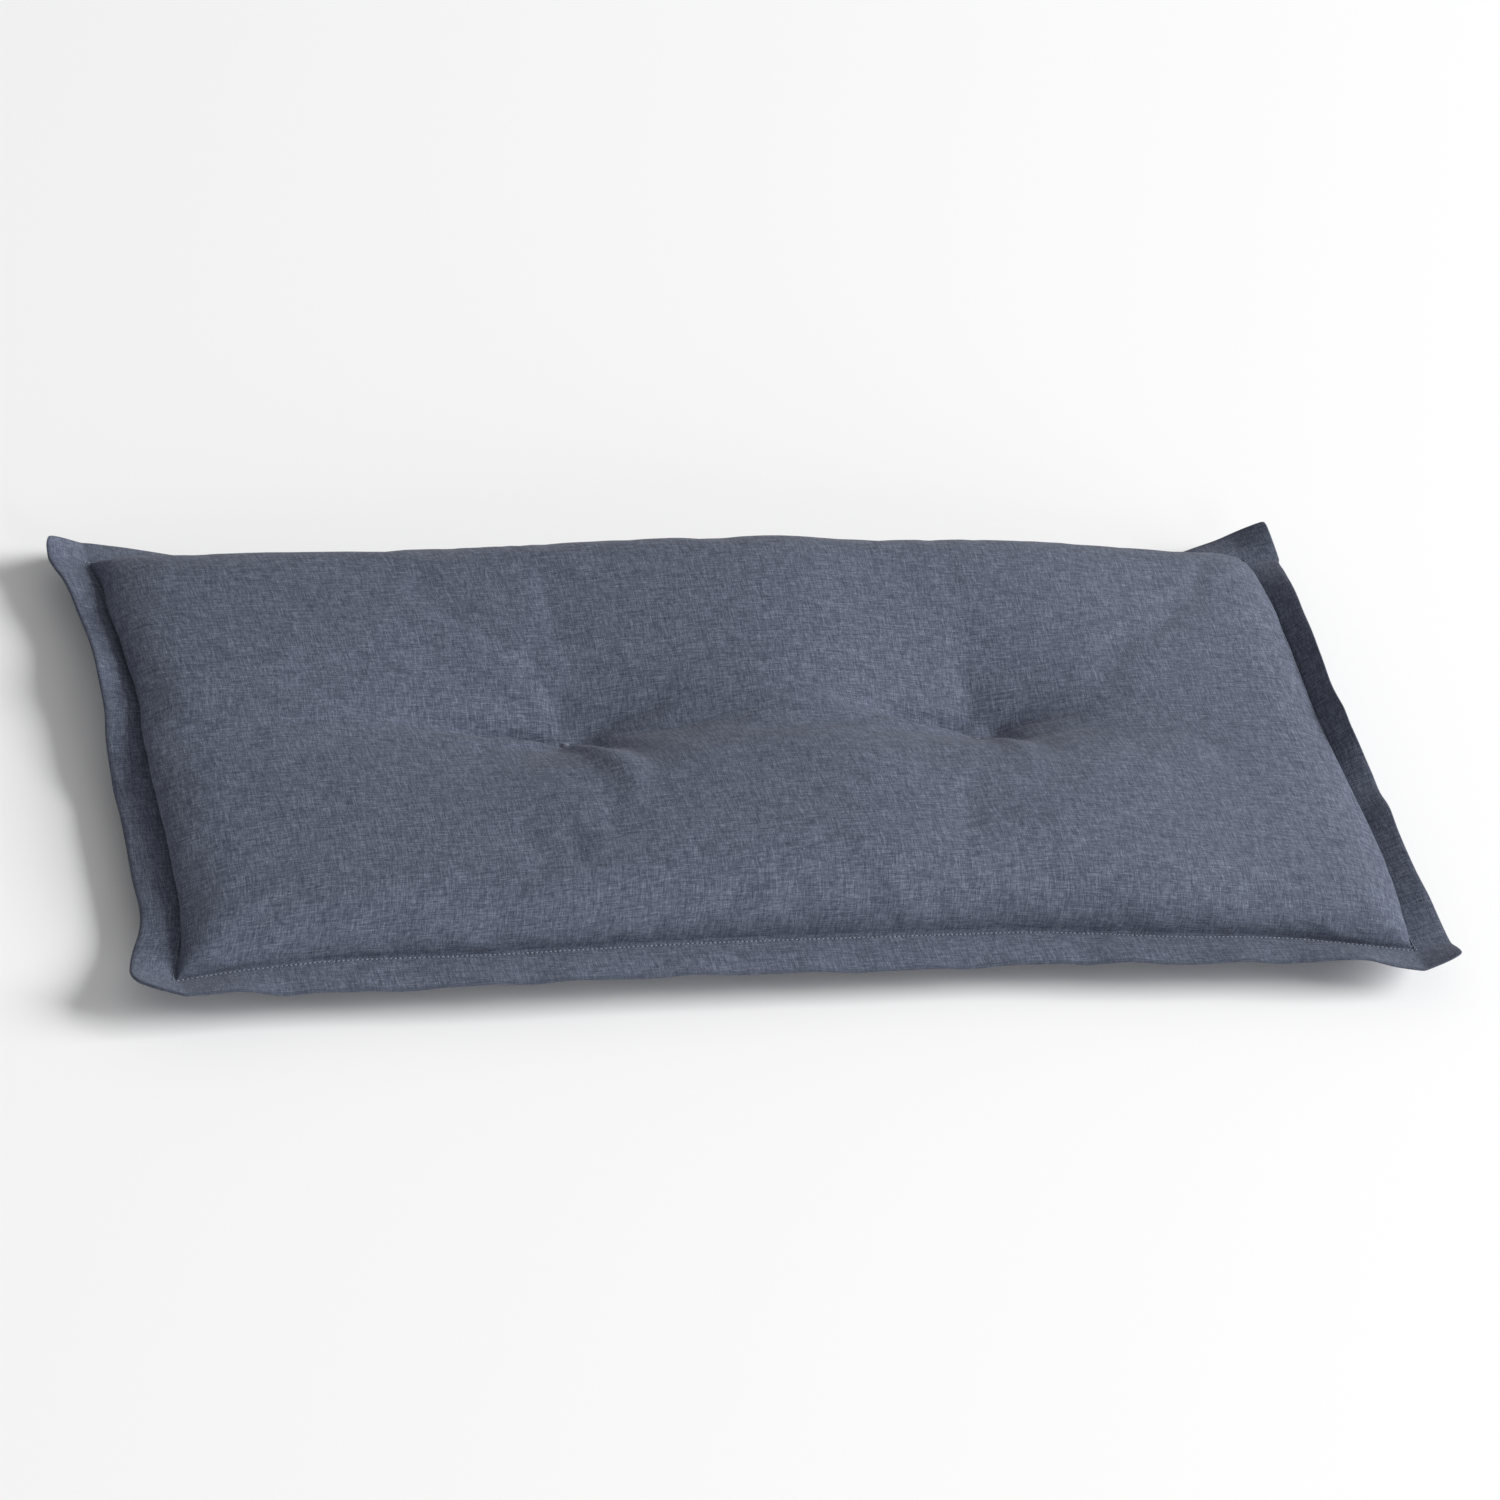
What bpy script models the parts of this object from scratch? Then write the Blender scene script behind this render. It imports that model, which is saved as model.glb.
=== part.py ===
"""Bench cushion with a flat stitched border and two thread tufts, lying on its back.

Two panels of cloth are sewn together on a rectangle of seams and filled. Outside the seams
the two layers lie flat on each other as a border, with their raw edges turned in. The filling
crowns the top, leans over its seams and draws them in between the corners. Two thread tacks
pull the top down into a valley, steep at the front and gentle behind.

Units are metres, +Z is up, +X runs along the cushion and -Y is its front. The underside rests
on z = 0, and the cushion is centred on the Z axis.
"""

from collections import namedtuple

import bmesh
import bpy
import numpy as np

# The whole cushion, as it lies filled
LENGTH = 1.000
DEPTH = 0.500
BORDER = 0.035
BORDER_THICK = 0.003
SEAM_X = LENGTH / 2 - BORDER
SEAM_Y = DEPTH / 2 - BORDER
SEAM_LOW = 0.020
SEAM_RISE = 0.008
SEAM_POWER = 2.5

# The filled body: a rounded wall inside each seam, which leans out past the seam as it starts,
# by so many degrees on each side, but not near a corner
WALL = 0.044
Leans = namedtuple("Leans", "left right front back")
TOP_LEANS = Leans(8, 36, 12, 28)
UNDER_LEANS = Leans(8, 8, 8, 8)
LEAN_FADE = 0.045
FRONT_FALL = 0.10
BACK_FALL = 0.02
FALL_POWER = 2.3
CORNER_FILL = 1.35
DRAW_POWER = 2.0

# The two tufts: the valley that they pull, and the thread tacks that hold them. The valley is
# a sharp crease beside a tuft, and softer the further it is away.
PIT_FLOOR = 0.034
PIT_FLAT = 0.005
PULL_FRONT = 0.030
PULL_BACK = 0.066
PULL_SHARP = 1.25
PULL_SOFT = 2.4
PULL_END = 3.0
PULL_POWER = 2.5
TURN_FADE = 0.060
UNDER_PIT = 0.018
UNDER_PIT_RADIUS = 0.060
TACK = (0.0065, 0.0032, 0.0018)
TACK_GAP = 0.0004

# How finely the surface is divided
BORDER_STEPS = 3
WALL_STEPS = 6
END_STEPS = 10
MIDDLE_STEPS = 12
ACROSS_STEPS = 7
CROWDING = 1.25
TACK_SIDES = 12
SMOOTH_ANGLE = np.radians(40)

CLOTH_COLOUR = (0.105, 0.122, 0.168, 1.0)
CLOTH_ROUGHNESS = 0.92
THREAD_COLOUR = (0.060, 0.070, 0.105, 1.0)
THREAD_ROUGHNESS = 0.75

# Each tuft has its place on the flat panel, its reach along the valley to the left and to the
# right, and the slope at which the valley runs through it
Tuft = namedtuple("Tuft", "name x y left right turn")
SEWN_TUFTS = (
    Tuft("left", -0.1493, 0.0, 0.132, 0.120, 0.14),
    Tuft("right", 0.1837, 0.0, 0.095, 0.095, 0.0),
)

# One side of the cushion, read towards +X or +Y. Each row is a place along the seam, as a
# share of half its length, how far the filling draws the seam in there, and how far the
# border's edge lies out and up from the seam.
Place = namedtuple("Place", "at drawn_in out up")
FRONT = (
    Place(-1.00, 0.000, 0.0295, 0.018),
    Place(-0.90, 0.007, 0.0325, 0.012),
    Place(-0.82, 0.011, 0.0340, 0.006),
    Place(-0.50, 0.013, 0.0345, 0.005),
    Place(-0.20, 0.018, 0.0350, 0.003),
    Place(0.20, 0.021, 0.0350, 0.000),
    Place(0.35, 0.022, 0.0345, 0.001),
    Place(0.60, 0.015, 0.0340, 0.007),
    Place(0.80, 0.012, 0.0330, 0.009),
    Place(0.88, 0.007, 0.0310, 0.014),
    Place(1.00, 0.000, 0.0290, 0.006),
)
BACK = (
    Place(-1.00, 0.000, 0.0320, -0.006),
    Place(-0.93, 0.004, 0.0310, -0.014),
    Place(-0.80, 0.010, 0.0320, -0.012),
    Place(-0.45, 0.017, 0.0320, -0.014),
    Place(-0.10, 0.018, 0.0340, -0.008),
    Place(0.30, 0.018, 0.0340, -0.006),
    Place(0.65, 0.014, 0.0330, -0.012),
    Place(0.90, 0.006, 0.0325, -0.014),
    Place(1.00, 0.000, 0.0350, 0.000),
)
LEFT = (
    Place(-1.00, 0.0000, 0.0340, 0.0080),
    Place(-0.90, 0.0020, 0.0326, 0.0130),
    Place(-0.75, 0.0035, 0.0281, 0.0208),
    Place(-0.55, 0.0055, 0.0298, 0.0183),
    Place(-0.30, 0.0090, 0.0323, 0.0134),
    Place(-0.10, 0.0110, 0.0336, 0.0100),
    Place(0.08, 0.0090, 0.0315, 0.0155),
    Place(0.22, 0.0075, 0.0278, 0.0213),
    Place(0.40, 0.0055, 0.0268, 0.0225),
    Place(0.55, 0.0045, 0.0278, 0.0213),
    Place(0.70, 0.0030, 0.0306, 0.0170),
    Place(0.85, 0.0020, 0.0313, 0.0156),
    Place(1.00, 0.0000, 0.0338, 0.0090),
)
RIGHT = (
    Place(-1.00, 0.000, 0.0310, 0.004),
    Place(-0.75, 0.006, 0.0315, 0.003),
    Place(-0.45, 0.012, 0.0320, 0.009),
    Place(-0.31, 0.014, 0.0320, 0.006),
    Place(-0.10, 0.016, 0.0325, 0.013),
    Place(0.25, 0.015, 0.0325, 0.013),
    Place(0.60, 0.009, 0.0340, 0.008),
    Place(0.85, 0.003, 0.0345, 0.000),
    Place(1.00, 0.000, 0.0350, -0.003),
)

# How high the filling crowns the top above the seams, from the left end to the right end
Filling = namedtuple("Filling", "at crown")
FILLING = (
    Filling(-1.00, 0.025),
    Filling(-0.75, 0.034),
    Filling(-0.50, 0.041),
    Filling(-0.20, 0.053),
    Filling(0.15, 0.060),
    Filling(0.45, 0.055),
    Filling(0.75, 0.044),
    Filling(1.00, 0.031),
)

# The border's four corners, counted outwards and upwards from the corner of the seams
Tip = namedtuple("Tip", "side_x side_y out_x out_y up")
TIPS = (
    Tip(-1, -1, 0.0340, 0.020, 0.024),
    Tip(1, -1, 0.0260, 0.022, 0.019),
    Tip(-1, 1, 0.0315, 0.011, 0.022),
    Tip(1, 1, 0.0270, 0.039, 0.012),
)

# Stations across the surface in one direction: which end each belongs to, its share of the
# way out over the border, its share of the way up the wall, and its place on the top.
Stations = namedtuple("Stations", "end border wall flat")


def along(places, column, at):
    """A column of a side's table, read on a smooth curve through its rows."""
    spots = np.array([place.at for place in places])
    values = np.array([getattr(place, column) for place in places])
    slopes = np.gradient(values, spots)
    row = np.clip(np.searchsorted(spots, at) - 1, 0, len(spots) - 2)
    step = spots[row + 1] - spots[row]
    t = (at - spots[row]) / step
    blend = t * t * (3 - 2 * t)
    leaving = step * slopes[row] * t * (1 - t) ** 2
    arriving = step * slopes[row + 1] * (t - 1) * t**2
    return values[row] * (1 - blend) + values[row + 1] * blend + leaving + arriving


def crowded(start, end, count):
    """Places from start up to end, closer together near start."""
    return start + (end - start) * np.linspace(0, 1, count + 1) ** CROWDING


def stations(half, flat):
    """The stations from edge to edge, for seams at plus and minus half and places on the top."""
    count = BORDER_STEPS + WALL_STEPS
    border = np.concatenate([np.linspace(1, 0, BORDER_STEPS + 1)[:-1], np.zeros(WALL_STEPS)])
    wall = np.concatenate([np.zeros(BORDER_STEPS), np.linspace(0, 1, WALL_STEPS + 1)[:-1]])
    no_border = np.zeros(len(flat))
    at_wall = np.full(count, half - WALL)
    return Stations(
        np.concatenate([-np.ones(count), np.sign(flat), np.ones(count)]),
        np.concatenate([border, no_border, border[::-1]]),
        np.concatenate([wall, no_border + 1, wall[::-1]]),
        np.concatenate([-at_wall, flat, at_wall]),
    )


def stations_along():
    """Stations along X, with lines on both sides of each tuft."""
    left, right = (tuft.x for tuft in SEWN_TUFTS)
    top_end = SEAM_X - WALL
    left_end = crowded(left - PIT_FLAT, -top_end, END_STEPS)[::-1]
    right_end = crowded(right + PIT_FLAT, top_end, END_STEPS)
    middle = np.linspace(left + PIT_FLAT, right - PIT_FLAT, MIDDLE_STEPS + 1)
    return stations(SEAM_X, np.concatenate([left_end, [left], middle, [right], right_end]))


def stations_across():
    """Stations along Y, closer together near the line of the tufts."""
    half = crowded(PIT_FLAT, SEAM_Y - WALL, ACROSS_STEPS)
    return stations(SEAM_Y, np.concatenate([-half[::-1], [0.0], half]))


def wall_turn(lean, share):
    """How far inside its seam and how far up the wall is, as shares, where it leans by lean."""
    turn = -lean + (np.pi / 2 + lean) * share
    inside = (np.cos(lean) - np.cos(turn)) / np.cos(lean)
    up = (np.sin(turn) + np.sin(lean)) / (1 + np.sin(lean))
    return inside, up


def both_ways(first, second):
    """The height share where two walls meet: nearly the lower one, rounded at the corner."""
    least = 1e-6
    first = np.maximum(first, least)
    second = np.maximum(second, least)
    return (first**-CORNER_FILL + second**-CORNER_FILL - 1) ** (-1 / CORNER_FILL)


def lean_share(line, half):
    """How much of its full lean the wall of the other two sides has at each station."""
    upright = line.flat + line.end * WALL * (1 - wall_turn(0.0, line.wall)[0])
    return 1 - np.exp(-(half - np.abs(upright)) / LEAN_FADE)


def drawn(x, y):
    """Where a place of the panel goes when the filling draws the seams in, and its shares."""
    a = np.clip(x / SEAM_X, -1, 1)
    b = np.clip(y / SEAM_Y, -1, 1)
    x = x + along(LEFT, "drawn_in", b) * ((1 - a) / 2) ** DRAW_POWER
    x = x - along(RIGHT, "drawn_in", b) * ((1 + a) / 2) ** DRAW_POWER
    y = y + along(FRONT, "drawn_in", a) * ((1 - b) / 2) ** DRAW_POWER
    y = y - along(BACK, "drawn_in", a) * ((1 + b) / 2) ** DRAW_POWER
    return x, y, a, b


def where_it_lies(tuft):
    """The same tuft at the place where it lies once the cushion is filled."""
    x, y = drawn(tuft.x, tuft.y)[:2]
    return tuft._replace(x=float(x), y=float(y))


TUFTS = tuple(where_it_lies(tuft) for tuft in SEWN_TUFTS)


def panel(leans, along_x, along_y):
    """The plan of one panel: X, Y, their shares of the seams' half sizes, and its height share."""
    lean_x = np.radians(np.where(along_x.end < 0, leans.left, leans.right))[:, None]
    lean_y = np.radians(np.where(along_y.end < 0, leans.front, leans.back))[None, :]
    lean_x = lean_x * lean_share(along_y, SEAM_Y)[None, :]
    lean_y = lean_y * lean_share(along_x, SEAM_X)[:, None]
    inside_x, up_x = wall_turn(lean_x, along_x.wall[:, None])
    inside_y, up_y = wall_turn(lean_y, along_y.wall[None, :])
    x = along_x.flat[:, None] + along_x.end[:, None] * WALL * (1 - inside_x)
    y = along_y.flat[None, :] + along_y.end[None, :] * WALL * (1 - inside_y)
    x, y, a, b = drawn(x, y)
    return x, y, a, b, both_ways(up_x, up_y)


def border_shift(a, b, along_x, along_y):
    """How far each point of the border lies out and up from the seam beside it."""
    share_x = along_x.border[:, None] + 0 * b
    share_y = along_y.border[None, :] + 0 * a
    end_x = along_x.end[:, None]
    end_y = along_y.end[None, :]
    out_x = np.where(end_x < 0, along(LEFT, "out", b), along(RIGHT, "out", b))
    up_x = np.where(end_x < 0, along(LEFT, "up", b), along(RIGHT, "up", b))
    out_y = np.where(end_y < 0, along(FRONT, "out", a), along(BACK, "out", a))
    up_y = np.where(end_y < 0, along(FRONT, "up", a), along(BACK, "up", a))
    only_x = share_x * (1 - share_y)
    only_y = share_y * (1 - share_x)
    shift_x = end_x * only_x * out_x
    shift_y = end_y * only_y * out_y
    shift_z = only_x * up_x + only_y * up_y
    for tip in TIPS:
        corner = share_x * share_y * (end_x == tip.side_x) * (end_y == tip.side_y)
        shift_x = shift_x + corner * tip.side_x * tip.out_x
        shift_y = shift_y + corner * tip.side_y * tip.out_y
        shift_z = shift_z + corner * tip.up
    return shift_x, shift_y, shift_z


def seam_height(a, b):
    """The seams lie lowest at the corners, where there is least filling under them."""
    return SEAM_LOW + SEAM_RISE * (1 - np.abs(a * b) ** SEAM_POWER)


def pulled_down(x, y):
    """How much of the way down to the tacks the top is pulled, from 0 to 1."""
    left_alone = 1.0
    for tuft in TUFTS:
        dx = x - tuft.x
        dy = y - tuft.y - tuft.turn * dx * np.exp(-np.abs(dx) / TURN_FADE)
        reach_x = np.maximum(np.abs(dx) - PIT_FLAT, 0) / np.where(dx < 0, tuft.left, tuft.right)
        reach_y = np.maximum(np.abs(dy) - PIT_FLAT, 0) / np.where(dy < 0, PULL_FRONT, PULL_BACK)
        away = np.clip(reach_x / PULL_END, 0, 1)
        power = PULL_SHARP + (PULL_SOFT - PULL_SHARP) * away
        reach = (reach_x**power + reach_y**power) ** (1 / power)
        left_alone = left_alone * (1 - np.clip(1 - reach / PULL_END, 0, 1) ** PULL_POWER)
    return 1 - left_alone


def top_height(x, y, a, b, share):
    """The crowned top, pulled down into a valley with a pit at each tuft."""
    depth_fall = 1 - np.where(b < 0, FRONT_FALL, BACK_FALL) * np.abs(b) ** FALL_POWER
    crown = along(FILLING, "crown", a) * depth_fall * share
    full = seam_height(a, b) + BORDER_THICK / 2 + crown
    return full - np.maximum(full - PIT_FLOOR, 0) * pulled_down(x, y)


def under_height(x, y, a, b, share):
    """The underside: rounded up to the seams, flat where it rests, dimpled under each tuft."""
    height = (seam_height(a, b) - BORDER_THICK / 2) * (1 - share)
    for tuft in TUFTS:
        reach = np.maximum(np.hypot(x - tuft.x, y - tuft.y) - PIT_FLAT, 0) / UNDER_PIT_RADIUS
        height = height + UNDER_PIT * np.clip(1 - reach**2, 0, 1) ** 2
    return height


def cushion_surfaces():
    """The points of the upper and the lower panel, borders included, as grids."""
    along_x = stations_along()
    along_y = stations_across()
    grids = []
    for leans, height in ((TOP_LEANS, top_height), (UNDER_LEANS, under_height)):
        x, y, a, b, share = panel(leans, along_x, along_y)
        shift_x, shift_y, shift_z = border_shift(a, b, along_x, along_y)
        z = height(x, y, a, b, share) + shift_z
        grids.append(np.stack([x + shift_x, y + shift_y, z], axis=-1))
    return grids


def joined_shell(mesh, upper, lower):
    """Fill a bmesh with both grids, closed by a band around the border's edge."""
    count_x, count_y = upper.shape[:2]
    top = [[mesh.verts.new(point) for point in row] for row in upper]
    under = [[mesh.verts.new(point) for point in row] for row in lower]
    for i in range(count_x - 1):
        for j in range(count_y - 1):
            mesh.faces.new((top[i][j], top[i + 1][j], top[i + 1][j + 1], top[i][j + 1]))
            mesh.faces.new((under[i][j], under[i][j + 1], under[i + 1][j + 1], under[i + 1][j]))
    rim = [(i, 0) for i in range(count_x - 1)]
    rim += [(count_x - 1, j) for j in range(count_y - 1)]
    rim += [(i, count_y - 1) for i in range(count_x - 1, 0, -1)]
    rim += [(0, j) for j in range(count_y - 1, 0, -1)]
    for (i, j), (k, m) in zip(rim, rim[1:] + rim[:1]):
        mesh.faces.new((top[i][j], under[i][j], under[k][m], top[k][m]))
    mesh.normal_update()


def finished(name, mesh, material):
    """Turn a bmesh into a named object with its material, smooth where it is round."""
    data = bpy.data.meshes.new(name)
    mesh.to_mesh(data)
    mesh.free()
    data.materials.append(material)
    data.shade_smooth()
    data.set_sharp_from_angle(angle=SMOOTH_ANGLE)
    made = bpy.data.objects.new(name, data)
    bpy.context.scene.collection.objects.link(made)
    return made


def plain_material(name, colour, roughness):
    """A matt material of one colour."""
    material = bpy.data.materials.new(name)
    material.use_nodes = True
    shader = material.node_tree.nodes["Principled BSDF"]
    shader.inputs["Base Color"].default_value = colour
    shader.inputs["Roughness"].default_value = roughness
    shader.inputs["Metallic"].default_value = 0.0
    return material


def make_cushion(material, upper, lower):
    """The filled body and its border, one solid."""
    mesh = bmesh.new()
    joined_shell(mesh, upper, lower)
    return finished("cushion", mesh, material)


def make_tack(name, material, centre):
    """A short bar of thread stitches that holds a tuft."""
    mesh = bmesh.new()
    bmesh.ops.create_uvsphere(mesh, u_segments=TACK_SIDES, v_segments=TACK_SIDES // 2, radius=0.5)
    bmesh.ops.scale(mesh, vec=TACK, verts=mesh.verts)
    tack = finished(name, mesh, material)
    tack.location = centre
    return tack


def main():
    for old in list(bpy.data.objects):
        bpy.data.objects.remove(old, do_unlink=True)
    cloth = plain_material("cloth", CLOTH_COLOUR, CLOTH_ROUGHNESS)
    thread = plain_material("thread", THREAD_COLOUR, THREAD_ROUGHNESS)
    upper, lower = cushion_surfaces()
    corners = np.concatenate([upper.reshape(-1, 3), lower.reshape(-1, 3)])
    centre = (corners.min(axis=0) + corners.max(axis=0)) / 2 * (1, 1, 0)
    make_cushion(cloth, upper - centre, lower - centre)
    clear = TACK_GAP + TACK[2] / 2
    for tuft in TUFTS:
        x, y = tuft.x - centre[0], tuft.y - centre[1]
        make_tack(f"tuft_tack_{tuft.name}", thread, (x, y, PIT_FLOOR + clear))
        make_tack(f"under_tack_{tuft.name}", thread, (x, y, UNDER_PIT - clear))


main()
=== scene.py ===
# %% [markdown]
# # A bench cushion with a stitched border
#
# The real object is a seat cushion for a two-seat garden bench. Two rectangles of the same
# melange cloth are sewn together round their edge and turned right side out. A second line of
# stitches, 35 mm further in, closes the casing round the filling, so that the outermost strip
# stays empty and lies flat as a border. Two short bars of thread, sewn right through, pull the
# top down into two tufts.
#
# This file builds what one sees of it: the cloth with its folds, the stitches, the tacks, the
# finishes, and a small studio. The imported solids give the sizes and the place.

# %% The fixed frame
import math
from collections import namedtuple
from functools import partial

import bpy
import numpy as np
from mathutils import Matrix, Vector


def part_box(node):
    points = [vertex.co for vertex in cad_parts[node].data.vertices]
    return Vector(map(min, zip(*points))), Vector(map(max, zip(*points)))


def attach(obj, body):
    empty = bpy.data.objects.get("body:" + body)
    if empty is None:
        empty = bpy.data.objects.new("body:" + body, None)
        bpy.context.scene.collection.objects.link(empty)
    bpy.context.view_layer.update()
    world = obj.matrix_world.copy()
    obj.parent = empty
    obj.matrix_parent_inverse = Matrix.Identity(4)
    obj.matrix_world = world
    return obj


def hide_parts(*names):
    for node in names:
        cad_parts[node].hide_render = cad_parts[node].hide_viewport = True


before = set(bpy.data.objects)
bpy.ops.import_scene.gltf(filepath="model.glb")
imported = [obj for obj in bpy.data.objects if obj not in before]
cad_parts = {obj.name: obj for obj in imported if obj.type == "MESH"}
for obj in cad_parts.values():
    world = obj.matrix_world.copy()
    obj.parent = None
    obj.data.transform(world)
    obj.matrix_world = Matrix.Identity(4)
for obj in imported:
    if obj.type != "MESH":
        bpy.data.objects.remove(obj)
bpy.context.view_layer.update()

# %% [markdown]
# ## The sizes that drive everything
#
# Every size is in metres, with +X along the cushion and -Y its front. The cloth is described
# on its seams first and moved into the frame at the end, because the seams form a plain
# rectangle and the finished cushion doesn't: its corners are pulled out unevenly.

# %% Sizes of the cushion
LENGTH = 1.000
DEPTH = 0.500
BORDER = 0.035
BORDER_THICK = 0.0032
SEAM_X = LENGTH / 2 - BORDER  # from the middle to the seam of an end
SEAM_Y = DEPTH / 2 - BORDER
SEAM_LOW = 0.020  # the seams' height at the corners
SEAM_RISE = 0.008  # how much higher they lie between the corners
SEAM_POWER = 2.5

WALL = 0.044  # how far inside its seam a wall turns into the top
WALL_CLOTH = 0.077  # the cloth that this turn takes up
LEAN_FADE = 0.035  # a wall leans less within about this distance of a corner
CORNER_FILL = 1.35  # the higher, the fuller and sharper the corners
DRAW_POWER = 2.0  # how quickly the drawing in fades towards the other side
FRONT_FALL = 0.10  # the share of its crown that the top loses towards the front seam
BACK_FALL = 0.02
FALL_POWER = 2.3

Leans = namedtuple("Leans", "left right front back")
TOP_LEANS = Leans(31, 38, 14, 28)
UNDER_LEANS = Leans(8, 8, 8, 8)

# left and right say how slowly the valley fades on each side, and turn is its slope at the tuft
Tuft = namedtuple("Tuft", "name x y left right turn")
SEWN_TUFTS = (
    Tuft("left", -0.1493, 0.0, 0.132, 0.120, 0.14),
    Tuft("right", 0.1837, 0.0, 0.095, 0.095, 0.0),
)
print("The seams form a rectangle of", round(2 * SEAM_X, 3), "by", round(2 * SEAM_Y, 3), "m")

# %% [markdown]
# ## How each side hangs
#
# A border of empty cloth never lies quite flat. Each side has a small table, one row for each
# place along its seam, from -1 at one corner to 1 at the other: how far the filling draws the
# seam in, and how far the border's edge lies out and up from it. A smooth curve through the
# rows does the rest. Two smaller tables say how high the filling stands from end to end, and
# where the four tips of the border lie, and how much each is rounded.

# %% Tables of the four sides, the filling and the corners
Place = namedtuple("Place", "at drawn_in out up")
FRONT = (
    Place(-1.00, 0.000, 0.0290, 0.017),
    Place(-0.90, 0.007, 0.0325, 0.012),
    Place(-0.82, 0.011, 0.0340, 0.006),
    Place(-0.50, 0.013, 0.0345, 0.005),
    Place(-0.20, 0.018, 0.0350, 0.003),
    Place(0.20, 0.021, 0.0350, 0.000),
    Place(0.35, 0.022, 0.0345, 0.001),
    Place(0.60, 0.015, 0.0340, 0.007),
    Place(0.80, 0.012, 0.0330, 0.009),
    Place(0.88, 0.007, 0.0310, 0.014),
    Place(1.00, 0.000, 0.0280, 0.007),
)
BACK = (
    Place(-1.00, 0.000, 0.0330, -0.008),
    Place(-0.92, 0.004, 0.0330, -0.011),
    Place(-0.84, 0.009, 0.0320, -0.0135),
    Place(-0.75, 0.012, 0.0320, -0.0140),
    Place(-0.45, 0.017, 0.0320, -0.014),
    Place(-0.10, 0.018, 0.0340, -0.008),
    Place(0.30, 0.018, 0.0340, -0.006),
    Place(0.65, 0.014, 0.0330, -0.012),
    Place(0.90, 0.006, 0.0325, -0.014),
    Place(1.00, 0.000, 0.0350, 0.000),
)
LEFT = (
    Place(-1.00, 0.0000, 0.0333, 0.0110),
    Place(-0.90, 0.0064, 0.0345, 0.0020),
    Place(-0.75, 0.0137, 0.0302, -0.0020),
    Place(-0.55, 0.0157, 0.0318, -0.0040),
    Place(-0.30, 0.0159, 0.0313, -0.0060),
    Place(-0.10, 0.0150, 0.0312, -0.0050),
    Place(0.08, 0.0155, 0.0315, -0.0010),
    Place(0.22, 0.0177, 0.0308, 0.0030),
    Place(0.40, 0.0153, 0.0290, 0.0060),
    Place(0.55, 0.0129, 0.0270, 0.0060),
    Place(0.70, 0.0089, 0.0255, 0.0040),
    Place(0.85, 0.0067, 0.0292, 0.0060),
    Place(1.00, 0.0000, 0.0310, 0.0090),
)
RIGHT = (
    Place(-1.00, 0.000, 0.0310, 0.006),
    Place(-0.75, 0.006, 0.0280, 0.011),
    Place(-0.45, 0.012, 0.0285, 0.0175),
    Place(-0.28, 0.014, 0.0320, 0.0140),
    Place(-0.10, 0.016, 0.0250, 0.0270),
    Place(0.25, 0.015, 0.0245, 0.0265),
    Place(0.60, 0.009, 0.0255, 0.0230),
    Place(0.85, 0.003, 0.0260, 0.0140),
    Place(1.00, 0.000, 0.0305, 0.0060),
)

Filling = namedtuple("Filling", "at crown")
FILLING = (
    Filling(-1.00, 0.022),
    Filling(-0.75, 0.032),
    Filling(-0.50, 0.0385),
    Filling(-0.20, 0.0515),
    Filling(0.00, 0.058),
    Filling(0.12, 0.060),
    Filling(0.27, 0.0550),
    Filling(0.45, 0.0545),
    Filling(0.60, 0.0495),
    Filling(0.75, 0.0395),
    Filling(1.00, 0.0265),
)

Tip = namedtuple("Tip", "side_x side_y out_x out_y up round")
TIPS = (
    Tip(-1, -1, 0.0345, 0.018, 0.018, 0.16),
    Tip(1, -1, 0.0315, 0.024, 0.019, 0.10),
    Tip(-1, 1, 0.0345, 0.012, 0.022, 0.10),
    Tip(1, 1, 0.0240, 0.031, 0.020, 0.03),
)


def along(places, column, at):
    """A column of a table at any place, on a smooth curve through its rows."""
    spots = np.array([place.at for place in places])
    values = np.array([getattr(place, column) for place in places])
    slopes = np.gradient(values, spots)
    row = np.clip(np.searchsorted(spots, at) - 1, 0, len(spots) - 2)
    step = spots[row + 1] - spots[row]
    t = (at - spots[row]) / step
    blend = t * t * (3 - 2 * t)
    leaving = step * slopes[row] * t * (1 - t) ** 2
    arriving = step * slopes[row + 1] * (t - 1) * t**2
    return values[row] * (1 - blend) + values[row + 1] * blend + leaving + arriving


print(len(FRONT + BACK + LEFT + RIGHT), "rows describe the four sides")

# %% [markdown]
# ## Lines across the cloth
#
# The cloth is a grid of lines, like squared paper. Each line belongs to one of three zones:
# the border, the wall that rises from the seam, or the top. The lines stand closer together
# at the seams and at the tufts, where the cloth bends most, and wider apart where it is calm.
# Each line also knows its place on the flat cloth, which later carries the weave.

# %% The lines in each direction
BORDER_STEPS = 5
WALL_STEPS = 11
END_STEPS = 34  # from a tuft to the wall of its end
MIDDLE_STEPS = 40  # from tuft to tuft
ACROSS_STEPS = 20  # from the tufts to a long wall
CROWDING_X = 1.12
CROWDING_Y = 1.25
TUFT_FLAT = 0.0045  # half the flat bottom of a tuft

Lines = namedtuple("Lines", "end border wall flat cloth")


def crowded(start, end, count, crowding):
    """Places from start up to end, closer together near start."""
    return start + (end - start) * np.linspace(0, 1, count + 1) ** crowding


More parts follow.
